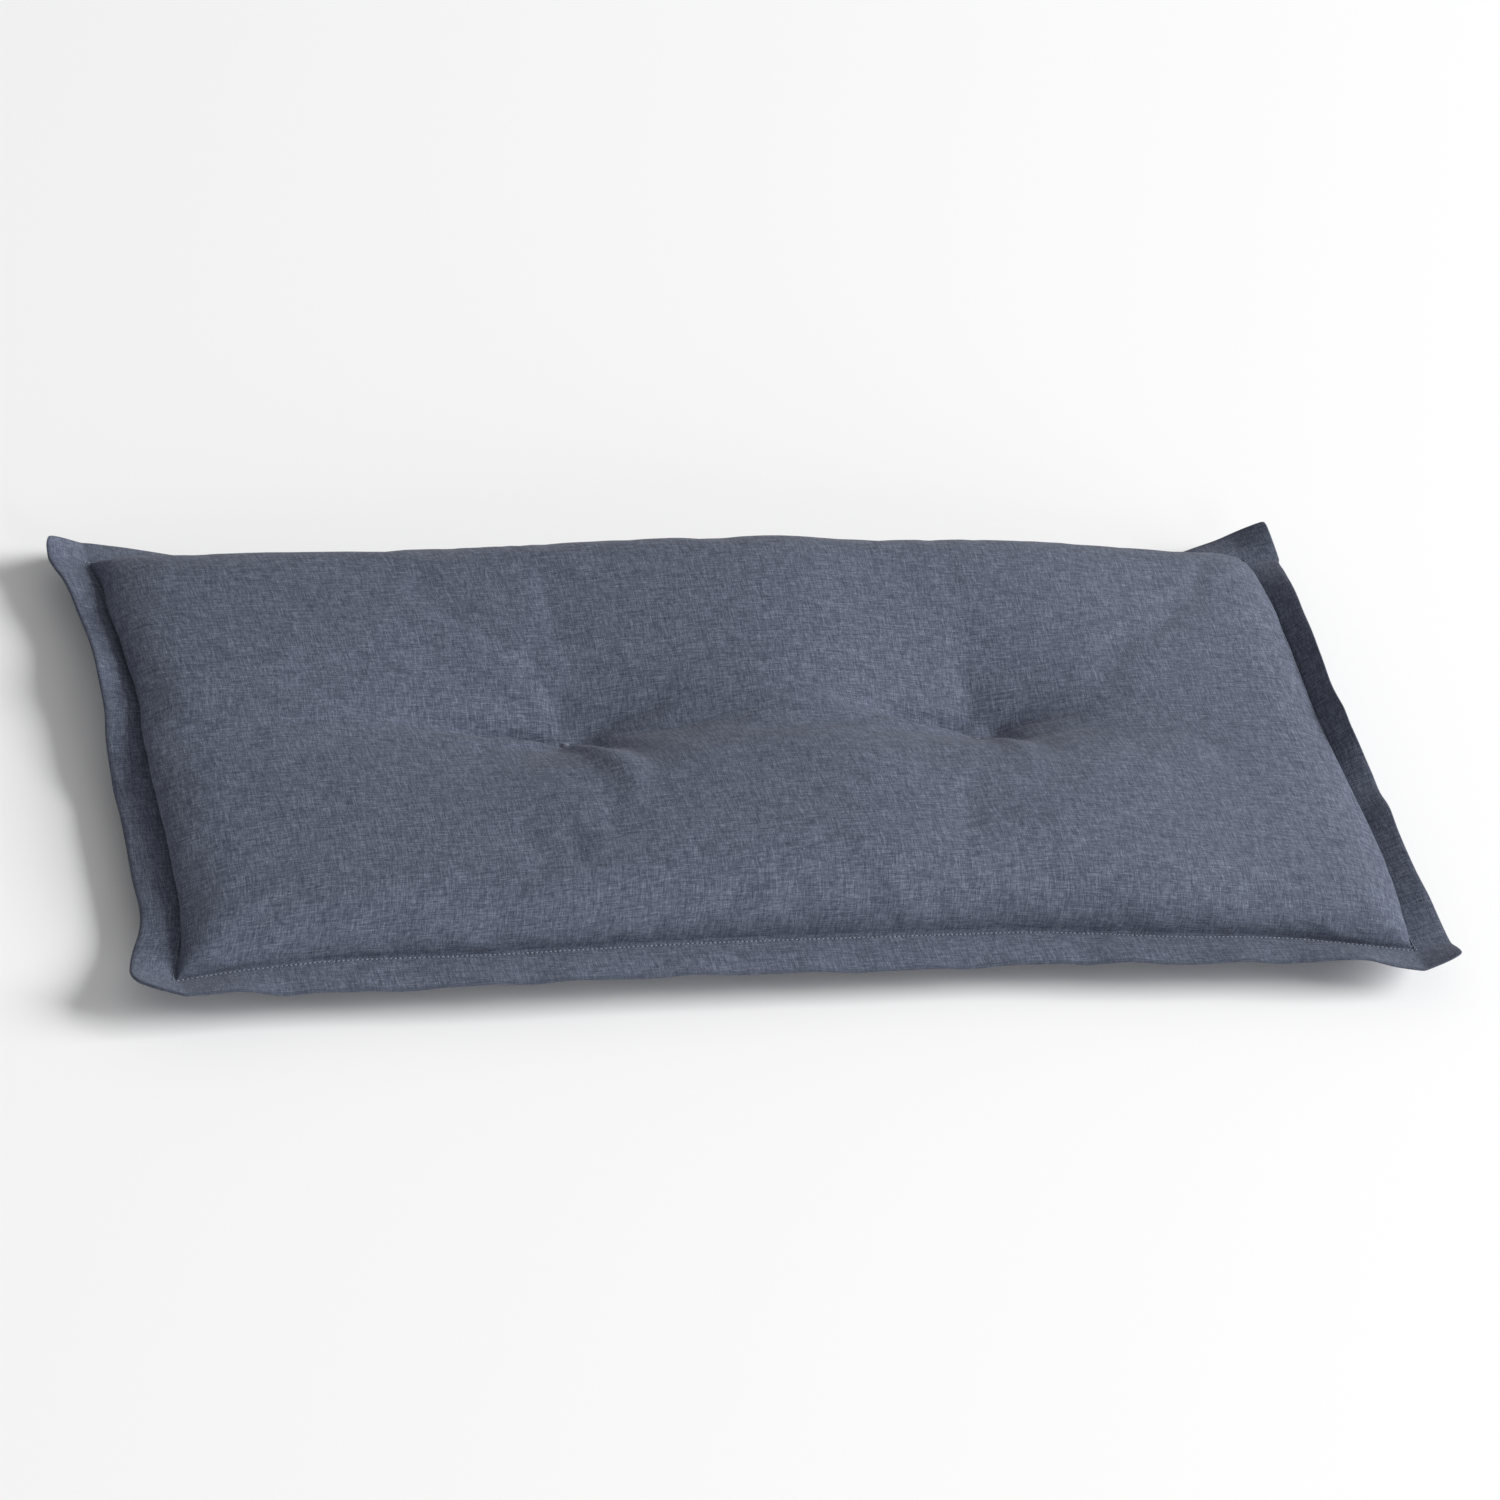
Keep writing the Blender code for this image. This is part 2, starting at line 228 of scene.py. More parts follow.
def lines(half, flat):
    """The lines from edge to edge, for seams at plus and minus half and places on the top."""
    count = BORDER_STEPS + WALL_STEPS
    border = np.concatenate([np.linspace(1, 0, BORDER_STEPS + 1)[:-1], np.zeros(WALL_STEPS)])
    wall = np.concatenate([np.zeros(BORDER_STEPS), np.linspace(0, 1, WALL_STEPS + 1)[:-1]])
    top_end = half - WALL
    side_cloth = top_end + WALL_CLOTH * (1 - wall) + BORDER * border
    no_border = np.zeros(len(flat))
    return Lines(
        np.concatenate([-np.ones(count), np.sign(flat), np.ones(count)]),
        np.concatenate([border, no_border, border[::-1]]),
        np.concatenate([wall, no_border + 1, wall[::-1]]),
        np.concatenate([np.full(count, -top_end), flat, np.full(count, top_end)]),
        np.concatenate([-side_cloth, flat, side_cloth[::-1]]),
    )


left_x, right_x = (tuft.x for tuft in SEWN_TUFTS)
flat_x = np.concatenate([
    crowded(left_x - TUFT_FLAT, WALL - SEAM_X, END_STEPS, CROWDING_X)[::-1],
    [left_x],
    np.linspace(left_x + TUFT_FLAT, right_x - TUFT_FLAT, MIDDLE_STEPS + 1),
    [right_x],
    crowded(right_x + TUFT_FLAT, SEAM_X - WALL, END_STEPS, CROWDING_X),
])
half_y = crowded(TUFT_FLAT, SEAM_Y - WALL, ACROSS_STEPS, CROWDING_Y)
flat_y = np.concatenate([-half_y[::-1], [0.0], half_y])
LINES_X = lines(SEAM_X, flat_x)
LINES_Y = lines(SEAM_Y, flat_y)
COUNT_X, COUNT_Y = len(LINES_X.flat), len(LINES_Y.flat)
SEAM_LINE = BORDER_STEPS
print("The grid has", COUNT_X, "by", COUNT_Y, "lines")

# %% [markdown]
# ## The plan of a filled panel
#
# Filling pushes the cloth out past its seam before it turns over the top. So a wall is part
# of an ellipse: it starts below the horizontal, leaning out, and ends level. Here the filling
# leans over the two end seams and the back seam most, and nowhere near a corner. Where two
# walls meet at a corner neither can rise alone, so the height there is a soft minimum of both.

# %% Plan and height share
def wall_turn(lean, share):
    """How far inside its seam and how far up the wall is, as shares, where it leans by lean."""
    turn = -lean + (np.pi / 2 + lean) * share
    inside = (np.cos(lean) - np.cos(turn)) / np.cos(lean)
    up = (np.sin(turn) + np.sin(lean)) / (1 + np.sin(lean))
    return inside, up


def both_ways(first, second):
    """The height share where two walls meet: nearly the lower one, rounded at the corner."""
    least = 1e-6
    first = np.maximum(first, least)
    second = np.maximum(second, least)
    return (first**-CORNER_FILL + second**-CORNER_FILL - 1) ** (-1 / CORNER_FILL)


def lean_share(line, half):
    """How much of its full lean the wall of the other two sides has at each line."""
    upright = line.flat + line.end * WALL * (1 - wall_turn(0.0, line.wall)[0])
    return 1 - np.exp(-(half - np.abs(upright)) / LEAN_FADE)


def drawn(x, y):
    """Where a place of the panel goes when the filling draws the seams in, and its shares."""
    a = np.clip(x / SEAM_X, -1, 1)
    b = np.clip(y / SEAM_Y, -1, 1)
    x = x + along(LEFT, "drawn_in", b) * ((1 - a) / 2) ** DRAW_POWER
    x = x - along(RIGHT, "drawn_in", b) * ((1 + a) / 2) ** DRAW_POWER
    y = y + along(FRONT, "drawn_in", a) * ((1 - b) / 2) ** DRAW_POWER
    y = y - along(BACK, "drawn_in", a) * ((1 + b) / 2) ** DRAW_POWER
    return x, y, a, b


def where_it_lies(tuft):
    """The same tuft at the place where it lies once the cushion is filled."""
    x, y = drawn(tuft.x, tuft.y)[:2]
    return tuft._replace(x=float(x), y=float(y))


def panel(leans):
    """The plan of one panel: X, Y, their shares of the seams' half sizes, and its height share."""
    lean_x = np.radians(np.where(LINES_X.end < 0, leans.left, leans.right))[:, None]
    lean_y = np.radians(np.where(LINES_Y.end < 0, leans.front, leans.back))[None, :]
    lean_x = lean_x * lean_share(LINES_Y, SEAM_Y)[None, :]
    lean_y = lean_y * lean_share(LINES_X, SEAM_X)[:, None]
    inside_x, up_x = wall_turn(lean_x, LINES_X.wall[:, None])
    inside_y, up_y = wall_turn(lean_y, LINES_Y.wall[None, :])
    x = LINES_X.flat[:, None] + LINES_X.end[:, None] * WALL * (1 - inside_x)
    y = LINES_Y.flat[None, :] + LINES_Y.end[None, :] * WALL * (1 - inside_y)
    x, y, a, b = drawn(x, y)
    return x, y, a, b, both_ways(up_x, up_y)


def seam_height(a, b):
    """The seams lie lowest at the corners, where there is least filling under them."""
    return SEAM_LOW + SEAM_RISE * (1 - np.abs(a * b) ** SEAM_POWER)


TUFTS = tuple(where_it_lies(tuft) for tuft in SEWN_TUFTS)
tack_low, tack_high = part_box("tuft_tack_left")
tack_middle = (tack_low + tack_high) / 2
MOVE = np.array([tack_middle.x - TUFTS[0].x, tack_middle.y - TUFTS[0].y, 0.0])
PIT_FLOOR = tack_low.z
print("The seams move by", MOVE.round(4), "into the frame")
print("The tufts lie at a height of", round(PIT_FLOOR, 4))

# %% [markdown]
# ## The tufts and their valley
#
# Each tack pulls the top down to two fifths of its height. The cloth can't stretch, so it
# falls into a valley along the line of the tacks, steep at the front where the filling is
# pressed against the thread, and gentle behind. Creases run out from each tack. Each is a row
# in a table: its direction, its length, how deep it cuts, how far the cloth at its left stands
# up as a lip (or at its right, where the number is negative), its width across, and how much
# it bends. Away from the tacks the valley turns from a crease into a soft hollow, and it ends
# well before the sides.

# %% Heights of the top and of the underside
PULL_FRONT = 0.030  # how slowly the pull of a tack fades in front of it
PULL_BACK = 0.066
PULL_SHARP = 1.25  # the power that rounds the valley at a tack: near 1 it is a crease
PULL_SOFT = 2.4  # the same at the valley's end
PULL_END = 3.0  # the pull ends at this many times those distances
PULL_POWER = 2.5
TURN_FADE = 0.060
CREASE_START = 0.1  # a crease deepens over this share of its length
CREASE_NARROW = 0.6  # its width at the tack, as a share of the width in the table
CREASE_ROOM = 0.006  # creases fade out over the last of the height above a tack
UNDER_PIT = 0.018
UNDER_PIT_RADIUS = 0.060

Crease = namedtuple("Crease", "tuft degrees length depth lip width bend")
CREASES = (
    Crease("left", 180, 0.165, 0.0020, 0.0120, 0.0075, -0.04),
    Crease("left", -42, 0.090, 0.0035, -0.0075, 0.0100, -0.32),
    Crease("left", 2, 0.080, 0.0010, -0.0035, 0.0090, 0.02),
    Crease("left", 80, 0.060, 0.0014, 0.0, 0.007, 0.15),
    Crease("left", 101, 0.085, 0.0022, 0.0, 0.007, -0.10),
    Crease("right", 180, 0.125, 0.0020, 0.0110, 0.0075, -0.05),
    Crease("right", -48, 0.075, 0.0030, -0.0055, 0.0100, -0.32),
    Crease("right", 3, 0.100, 0.0010, -0.0075, 0.0080, 0.02),
    Crease("right", 96, 0.090, 0.0022, 0.0, 0.007, -0.06),
)


def from_tuft(x, y, tuft):
    """How far each point lies from a tuft, along the valley and across its turned line."""
    dx = x - tuft.x
    return dx, y - tuft.y - tuft.turn * dx * np.exp(-np.abs(dx) / TURN_FADE)


def crease_height(x, y, tuft, crease):
    """How much one crease raises or lowers each point: a groove with a lip at one side."""
    angle = math.radians(crease.degrees)
    dx, dy = from_tuft(x, y, tuft)
    run = (dx * math.cos(angle) + dy * math.sin(angle)) / crease.length
    aside = dy * math.cos(angle) - dx * math.sin(angle) - crease.bend * crease.length * run**2
    fade = np.clip(1 - run, 0, 1) * np.clip(run / CREASE_START, 0, 1)
    away = aside / (crease.width * (CREASE_NARROW + np.clip(run, 0, 1)))
    lip = crease.lip * away * np.exp(0.5 - away**2 / 2)
    groove = crease.depth * np.exp(-(away**2))
    return fade * (lip - groove)


def pulled_down(x, y):
    """How much of the way down to the tacks the top is pulled, from 0 to 1."""
    left_alone = 1.0
    for tuft in TUFTS:
        dx, dy = from_tuft(x, y, tuft)
        reach_x = np.maximum(np.abs(dx) - TUFT_FLAT, 0) / np.where(dx < 0, tuft.left, tuft.right)
        reach_y = np.maximum(np.abs(dy) - TUFT_FLAT, 0) / np.where(dy < 0, PULL_FRONT, PULL_BACK)
        away = np.clip(reach_x / PULL_END, 0, 1)
        power = PULL_SHARP + (PULL_SOFT - PULL_SHARP) * away
        reach = (reach_x**power + reach_y**power) ** (1 / power)
        left_alone = left_alone * (1 - np.clip(1 - reach / PULL_END, 0, 1) ** PULL_POWER)
    return 1 - left_alone


def top_height(x, y, a, b, share):
    """The crowned top with its valley, tufts and creases."""
    depth_fall = 1 - np.where(b < 0, FRONT_FALL, BACK_FALL) * np.abs(b) ** FALL_POWER
    crown = along(FILLING, "crown", a) * depth_fall * share
    full = seam_height(a, b) + crown
    height = full - np.maximum(full - PIT_FLOOR, 0) * pulled_down(x, y)
    room = np.clip((height - PIT_FLOOR) / CREASE_ROOM, 0, 1)
    for crease in CREASES:
        tuft = next(tuft for tuft in TUFTS if tuft.name == crease.tuft)
        height = height + room * crease_height(x, y, tuft, crease)
    return height


def under_height(x, y, a, b, share):
    """The underside: rounded up to the seams, flat where it rests, dimpled under each tuft."""
    height = seam_height(a, b) * (1 - share)
    for tuft in TUFTS:
        reach = np.maximum(np.hypot(x - tuft.x, y - tuft.y) - TUFT_FLAT, 0) / UNDER_PIT_RADIUS
        height = height + UNDER_PIT * np.clip(1 - reach**2, 0, 1) ** 2
    return height


# %% [markdown]
# ## The border
#
# The border leaves the seam and reaches its edge along the tables above. Between two sides
# its corner is a small four-sided patch, pulled to a tip of its own. Small waves along the
# edge come on top, each side with its own phase, and here and there a dent, where the sewing
# has nipped the border. The sewing also pinches the two layers together along the seam. Layered
# cloth makes no sharp folds, so at the end every point of the border takes part of its
# neighbours' shift.

# %% Where the border lies
Side = namedtuple("Side", "name rows end_x end_y phase")
SIDES = (
    Side("left", LEFT, -1, 0, 1),
    Side("right", RIGHT, 1, 0, 3),
    Side("front", FRONT, 0, -1, 4),
    Side("back", BACK, 0, 1, 6),
)

Wave = namedtuple("Wave", "length height phase")
WAVES = (
    Wave(0.083, 0.0011, 0.6),
    Wave(0.047, 0.0007, 2.1),
    Wave(0.029, 0.0004, 4.4),
)

Dent = namedtuple("Dent", "side at width pulled_in down")
DENTS = (
    Dent("right", -0.0735, 0.0040, 0.0030, 0.0050),
    Dent("right", -0.0860, 0.0060, -0.0010, -0.0030),
    Dent("right", 0.2050, 0.0060, 0.0030, 0.0000),
    Dent("front", -0.3930, 0.0070, 0.0005, 0.0045),
    Dent("front", -0.3700, 0.0070, 0.0000, -0.0030),
    Dent("front", 0.2700, 0.0050, 0.0005, 0.0025),
    Dent("front", 0.2860, 0.0050, 0.0005, 0.0020),
    Dent("left", 0.1380, 0.0060, 0.0010, 0.0035),
    Dent("left", -0.1500, 0.0060, 0.0005, 0.0030),
)
DENT_POWER = 0.7
ROUND_POWER = 3.5
PINCH = 0.45  # the share of its thickness that the border has at the seam
PINCH_WIDTH = 1 / 3  # the share of its width in which it grows to the whole
PINCH_POWER = 0.7
SOFTENING = 2


def hanging(side, place, half, share):
    """How far one side's edge lies out and up, with its waves, and its dents nearer the edge."""
    out = along(side.rows, "out", place)
    up = along(side.rows, "up", place)
    distance = place * half
    for wave in WAVES:
        turns = 2 * np.pi * distance / wave.length
        up = up + wave.height * np.sin(turns + wave.phase * side.phase)
    for dent in DENTS:
        if dent.side == side.name:
            here = share**DENT_POWER * np.exp(-(((distance - dent.at) / dent.width) ** 2))
            out = out - dent.pulled_in * here
            up = up - dent.down * here
    return out, up


def border_shift(a, b):
    """How far each point of the border lies out and up from the seam beside it."""
    share_x = LINES_X.border[:, None] + 0 * b
    share_y = LINES_Y.border[None, :] + 0 * a
    end_x = LINES_X.end[:, None]
    end_y = LINES_Y.end[None, :]
    shift = np.zeros(share_x.shape + (3,))
    for side in SIDES:
        if side.end_x:
            here = share_x * (1 - share_y) * (end_x == side.end_x)
            out, up = hanging(side, b, SEAM_Y, share_x)
        else:
            here = share_y * (1 - share_x) * (end_y == side.end_y)
            out, up = hanging(side, a, SEAM_X, share_y)
        shift += np.stack([side.end_x * here * out, side.end_y * here * out, here * up], axis=-1)
    for tip in TIPS:
        corner = share_x * share_y * (end_x == tip.side_x) * (end_y == tip.side_y)
        corner = corner * (1 - tip.round * corner**ROUND_POWER)
        pulled = (tip.side_x * tip.out_x, tip.side_y * tip.out_y, tip.up)
        shift += corner[..., None] * np.array(pulled)
    return shift


def border_half():
    """Half the border's thickness: pinched at the seam, and full further out."""
    out = np.maximum(LINES_X.border[:, None], LINES_Y.border[None, :])
    grown = np.clip(out / PINCH_WIDTH, 0, 1) ** PINCH_POWER
    return BORDER_THICK / 2 * (PINCH + (1 - PINCH) * grown)


def softened(shift):
    """The border with round folds: each point takes part of its neighbours' shift."""
    border_x = LINES_X.border > 0
    border_y = LINES_Y.border > 0
    for _ in range(SOFTENING):
        blend = (shift[:-2, border_y] + 2 * shift[1:-1, border_y] + shift[2:, border_y]) / 4
        shift[1:-1, border_y] = blend
        blend = (shift[border_x, :-2] + 2 * shift[border_x, 1:-1] + shift[border_x, 2:]) / 4
        shift[border_x, 1:-1] = blend
    return shift


def surface(leans, height, face):
    """One panel as a grid of points; face is 1 for the top and -1 for the underside."""
    x, y, a, b, share = panel(leans)
    z = height(x, y, a, b, share) + face * border_half() * (1 - share)
    return np.stack([x, y, z], axis=-1) + softened(border_shift(a, b)) + MOVE


upper = surface(TOP_LEANS, top_height, 1)
lower = surface(UNDER_LEANS, under_height, -1)
print("The top reaches a height of", upper[..., 2].max().round(4))
print("The underside reaches down to", lower[..., 2].min().round(4))

# %% [markdown]
# ## From two grids to one closed casing
#
# The two panels share a rim. One more ring of points lies between their edges, a little
# further out, so that the edge is round. Each panel keeps its flat places as a UV map in
# metres: the weave is drawn there, and so it follows every fold as printed cloth would.

# %% The casing as a mesh
ROUND_OUT = 0.0010


def ring(inset):
    """The grid's points on the lines that lie this many lines inside its edge, once round."""
    high_i, high_j = COUNT_X - 1 - inset, COUNT_Y - 1 - inset
    loop = [(i, inset) for i in range(inset, high_i)]
    loop += [(high_i, j) for j in range(inset, high_j)]
    loop += [(i, high_j) for i in range(high_i, inset, -1)]
    loop += [(inset, j) for j in range(high_j, inset, -1)]
    return np.array(loop).T


def grid_faces(numbers, turned):
    """The four-sided faces between neighbouring points of a grid of vertex numbers."""
    corners = [numbers[:-1, :-1], numbers[1:, :-1], numbers[1:, 1:], numbers[:-1, 1:]]
    if turned:
        corners = corners[::-1]
    return np.stack([corner.ravel() for corner in corners], axis=-1)


def make_mesh(name, points, faces, flat):
    """A mesh with a UV map named weave, from points, faces, and flat places per face corner."""
    mesh = bpy.data.meshes.new(name)
    mesh.from_pydata(points.tolist(), [], faces.tolist())
    layer = mesh.uv_layers.new(name="weave")
    layer.data.foreach_set("uv", flat.astype(np.float32).ravel())
    mesh.shade_smooth()
    mesh.update()
    return mesh


size = COUNT_X * COUNT_Y
top_numbers = np.arange(size).reshape(COUNT_X, COUNT_Y)
under_numbers = top_numbers + size
rim_i, rim_j = ring(0)
upper_rim, lower_rim = upper[rim_i, rim_j], lower[rim_i, rim_j]
inner_i = np.clip(rim_i, 1, COUNT_X - 2)
inner_j = np.clip(rim_j, 1, COUNT_Y - 2)
outwards = upper_rim - upper[inner_i, inner_j]
outwards = outwards / np.linalg.norm(outwards, axis=1, keepdims=True)
rim = (upper_rim + lower_rim) / 2 + outwards * ROUND_OUT
points = np.concatenate([upper.reshape(-1, 3), lower.reshape(-1, 3), rim])

rim_numbers = 2 * size + np.arange(len(rim_i))
above, below = top_numbers[rim_i, rim_j], under_numbers[rim_i, rim_j]
upper_band = np.stack([above, rim_numbers, np.roll(rim_numbers, -1), np.roll(above, -1)], axis=-1)
lower_band = np.stack([rim_numbers, below, np.roll(below, -1), np.roll(rim_numbers, -1)], axis=-1)
faces = np.concatenate([
    grid_faces(top_numbers, False),
    grid_faces(under_numbers, True),
    upper_band,
    lower_band,
])

cloth_x, cloth_y = np.meshgrid(LINES_X.cloth, LINES_Y.cloth, indexing="ij")
flat = np.stack([cloth_x, cloth_y], axis=-1).reshape(-1, 2)
edge_flat = flat.reshape(COUNT_X, COUNT_Y, 2)[rim_i, rim_j]
at_end = np.stack([rim_i % (COUNT_X - 1) == 0, rim_j % (COUNT_Y - 1) == 0], axis=-1)
edge_out = np.sign(edge_flat) * at_end
flat_of = np.concatenate([flat, flat, edge_flat + edge_out * BORDER_THICK / 2])
casing_mesh = make_mesh("cushion_cover", points, faces, flat_of[faces].reshape(-1, 2))
print(len(points), "points and", len(faces), "faces before smoothing")

# %% [markdown]
# ## Filling the casing
#
# A cloth simulation with pressure inside swells the casing as real filling does, and it
# buckles the cloth where a seam or a tack holds it. The border, the seams, the tacks and the
# part that rests on the ground are pinned. The cloth is cut a little larger than the shape
# that it starts from, which is what makes the puckers.
#
# A fibre filling pushes less evenly than air would. So the movement is split in two. Of the
# slow part, which is the swelling, only a tenth is kept, so that the cushion keeps its size.
# The rest is the puckers, and half of their depth is kept, up to a few millimetres.

# %% The simulation
PRESSURE = 1.0
EASE = -0.010  # negative, as the cloth is larger than the shape
TENSION = 60
BENDING = 0.4
FRAMES = 20
RESTING = 0.0004  # the cloth rests where it lies lower than this
TACK_HOLD = 1.6 * TUFT_FLAT
SWELL_SHARE = 0.10
SWELL_LIMIT = 0.002
PUCKER_SHARE = 0.5
PUCKER_LIMIT = 0.003
CALMING = 12


def held_points():
    """Which points are pinned, as one grid for each panel."""
    on_border = (LINES_X.wall[:, None] == 0) | (LINES_Y.wall[None, :] == 0)
    upper_held = on_border.copy()
    lower_held = on_border | (lower[..., 2] < RESTING)
    for grid, held in ((upper, upper_held), (lower, lower_held)):
        for tuft in TUFTS:
            gap = np.hypot(grid[..., 0] - MOVE[0] - tuft.x, grid[..., 1] - MOVE[1] - tuft.y)
            held[gap < TACK_HOLD] = True
    return upper_held, lower_held


def places_of(mesh):
    """Where the points of a mesh are."""
    places = np.empty(len(mesh.vertices) * 3)
    mesh.vertices.foreach_get("co", places)
    return places.reshape(-1, 3)


def filled(mesh, pinned):
    """Where the mesh's points go when the casing is filled."""
    body = bpy.data.objects.new("filling", mesh.copy())
    bpy.context.scene.collection.objects.link(body)
    group = body.vertex_groups.new(name="held")
    group.add(pinned.tolist(), 1.0, "REPLACE")
    cloth = body.modifiers.new("cloth", "CLOTH")
    settings = cloth.settings
    settings.quality = 6
    settings.mass = 0.3
    settings.tension_stiffness = TENSION
    settings.compression_stiffness = TENSION
    settings.shear_stiffness = TENSION / 3
    settings.bending_stiffness = BENDING
    settings.use_pressure = True
    settings.uniform_pressure_force = PRESSURE
    settings.shrink_min = EASE
    settings.vertex_group_mass = "held"
    settings.effector_weights.gravity = 0
    cloth.collision_settings.use_collision = False
    cloth.point_cache.frame_start = 1
    cloth.point_cache.frame_end = FRAMES
    scene = bpy.context.scene
    for number in range(1, FRAMES + 1):
        scene.frame_set(number)
    graph = bpy.context.evaluated_depsgraph_get()
    places = places_of(body.evaluated_get(graph).to_mesh())
    body.evaluated_get(graph).to_mesh_clear()
    used = body.data
    bpy.data.objects.remove(body)
    bpy.data.meshes.remove(used)
    scene.frame_set(1)
    return places


def calmed(moves, held):
    """The slow part of a panel's movement: free points take their neighbours' mean many times."""
    calm = moves.copy()
    free = ~held[1:-1, 1:-1, None]
    for _ in range(CALMING):
        mean = (calm[:-2, 1:-1] + calm[2:, 1:-1] + calm[1:-1, :-2] + calm[1:-1, 2:]) / 4
        calm[1:-1, 1:-1] = np.where(free, mean, calm[1:-1, 1:-1])
    return calm


def limited(moves, most):
    """The same movement, no point further than most."""
    least = 1e-9
    distance = np.linalg.norm(moves, axis=-1, keepdims=True)
    return moves * np.tanh(distance / most) * most / np.maximum(distance, least)


settled = points.copy()
held_up, held_low = held_points()
held = np.concatenate([held_up.ravel(), held_low.ravel(), np.ones(len(rim_i), bool)])
moved = filled(casing_mesh, np.flatnonzero(held)) - points
print("The filling moves the cloth by up to", np.linalg.norm(moved, axis=1).max().round(4), "m")
for start, held_part in ((0, held_up), (size, held_low)):
    moves = moved[start:start + size].reshape(COUNT_X, COUNT_Y, 3)
    calm = calmed(moves, held_part)
    kept = limited(calm * SWELL_SHARE, SWELL_LIMIT)
    kept = kept + limited((moves - calm) * PUCKER_SHARE, PUCKER_LIMIT)
    settled[start:start + size] += kept.reshape(-1, 3)
change = np.linalg.norm(settled - points, axis=1)
print("Kept: up to", change.max().round(4), "m, and", change.mean().round(4), "m on average")
settled[:, 2] = np.maximum(settled[:, 2], 0.0)
casing_mesh.vertices.foreach_set("co", settled.ravel())
casing_mesh.update()

# %% [markdown]
# ## One subdivision
#
# The simulation ran on lines 4 to 10 mm apart. One subdivision halves that and rounds what is
# left of the corners. A crease value on the seams keeps them sharp. new_from_object then turns
# the result into a plain mesh, and the modifier goes.

# %% The finished cloth
SEAM_CREASE = 0.65


def seam_edges(mesh):
    """Marks the edges that lie on the seams of both panels, so that they stay sharp."""
    on_seam = np.zeros((COUNT_X, COUNT_Y), bool)
    on_seam[tuple(ring(SEAM_LINE))] = True
    flags = np.concatenate([on_seam.ravel(), on_seam.ravel(), np.zeros(len(rim_i), bool)])
    ends = np.empty(len(mesh.edges) * 2, np.int32)
    mesh.edges.foreach_get("vertices", ends)
    sharp = flags[ends.reshape(-1, 2)].all(axis=1)
    crease = mesh.attributes.new("crease_edge", "FLOAT", "EDGE")
    crease.data.foreach_set("value", np.where(sharp, SEAM_CREASE, 0.0).astype(np.float32))


def baked(made):
    """The object's mesh with its modifiers applied, on a plain object of the same name."""
    graph = bpy.context.evaluated_depsgraph_get()
    mesh = bpy.data.meshes.new_from_object(made.evaluated_get(graph), depsgraph=graph)
    made.modifiers.clear()
    old = made.data
    made.data = mesh
    mesh.name = made.name
    if old.users == 0:
        bpy.data.meshes.remove(old)
    return made


seam_edges(casing_mesh)
cushion = bpy.data.objects.new("cushion_cover", casing_mesh)
bpy.context.scene.collection.objects.link(cushion)
smooth = cushion.modifiers.new("smooth", "SUBSURF")
smooth.levels = smooth.render_levels = 1
smooth.use_limit_surface = False
baked(cushion)
cushion.data.shade_smooth()
print("The cloth has", len(cushion.data.polygons), "faces")

# %% [markdown]
# ## Shader maths as Python expressions
#
# Materials are node trees, and a formula in nodes is hard to read. The class below wraps a
# socket, so that a line such as `1 - mask` adds the Math node by itself. Every other node
# comes from one function: its type, its settings, and what its sockets get.

# %% A small shader language
def feed(tree, socket, value):
    """Links a socket to a signal or to another socket, or sets its value."""
    if isinstance(value, Signal):
        value = value.link
    if isinstance(value, bpy.types.NodeSocket):
        tree.links.new(value, socket)
    else:
        socket.default_value = value


def new_node(tree, kind, settings, sockets):
    """A new node of a tree, with its settings made and its sockets fed."""
    made = tree.nodes.new(kind)
    for key, value in settings.items():
        setattr(made, key, value)
    for key, value in sockets.items():
        feed(tree, made.inputs[key], value)
    return made


class Signal:
    """The output of a node, which takes part in arithmetic."""

    def __init__(self, finish, link):
        self.finish = finish
        self.link = link

    def __add__(self, other):
        return self.finish.maths("ADD", self, other)

    def __radd__(self, other):
        return self.finish.maths("ADD", other, self)

    def __sub__(self, other):
        return self.finish.maths("SUBTRACT", self, other)

    def __rsub__(self, other):
        return self.finish.maths("SUBTRACT", other, self)

    def __mul__(self, other):
        return self.finish.maths("MULTIPLY", self, other)


class Finish:
    """A material that is built node by node."""

    def __init__(self, name):
        self.material = bpy.data.materials.new(name)
        self.material.use_nodes = True
        self.tree = self.material.node_tree
        self.shader = self.tree.nodes["Principled BSDF"]

    def node(self, kind, settings, sockets, output=0):
        """The output of a new node."""
        made = new_node(self.tree, kind, settings, sockets)
        return Signal(self, made.outputs[output])

    def maths(self, operation, first, second):
        """A Math node on two values or signals."""
        return self.node("ShaderNodeMath", {"operation": operation}, {0: first, 1: second})

    def ramp(self, value, stops):
        """A colour ramp over value, with (place, colour) pairs as its stops."""
        made = new_node(self.tree, "ShaderNodeValToRGB", {}, {"Fac": value})
        elements = made.color_ramp.elements
        while len(elements) < len(stops):
            elements.new(1.0)
        for element, (place, colour) in zip(elements, stops):
            element.position = place
            element.color = colour
        return Signal(self, made.outputs["Color"])

    def shade(self, **sockets):
        """Sets or links the shader's own sockets, named with _ for a space."""
        for key, value in sockets.items():
            feed(self.tree, self.shader.inputs[key.replace("_", " ")], value)


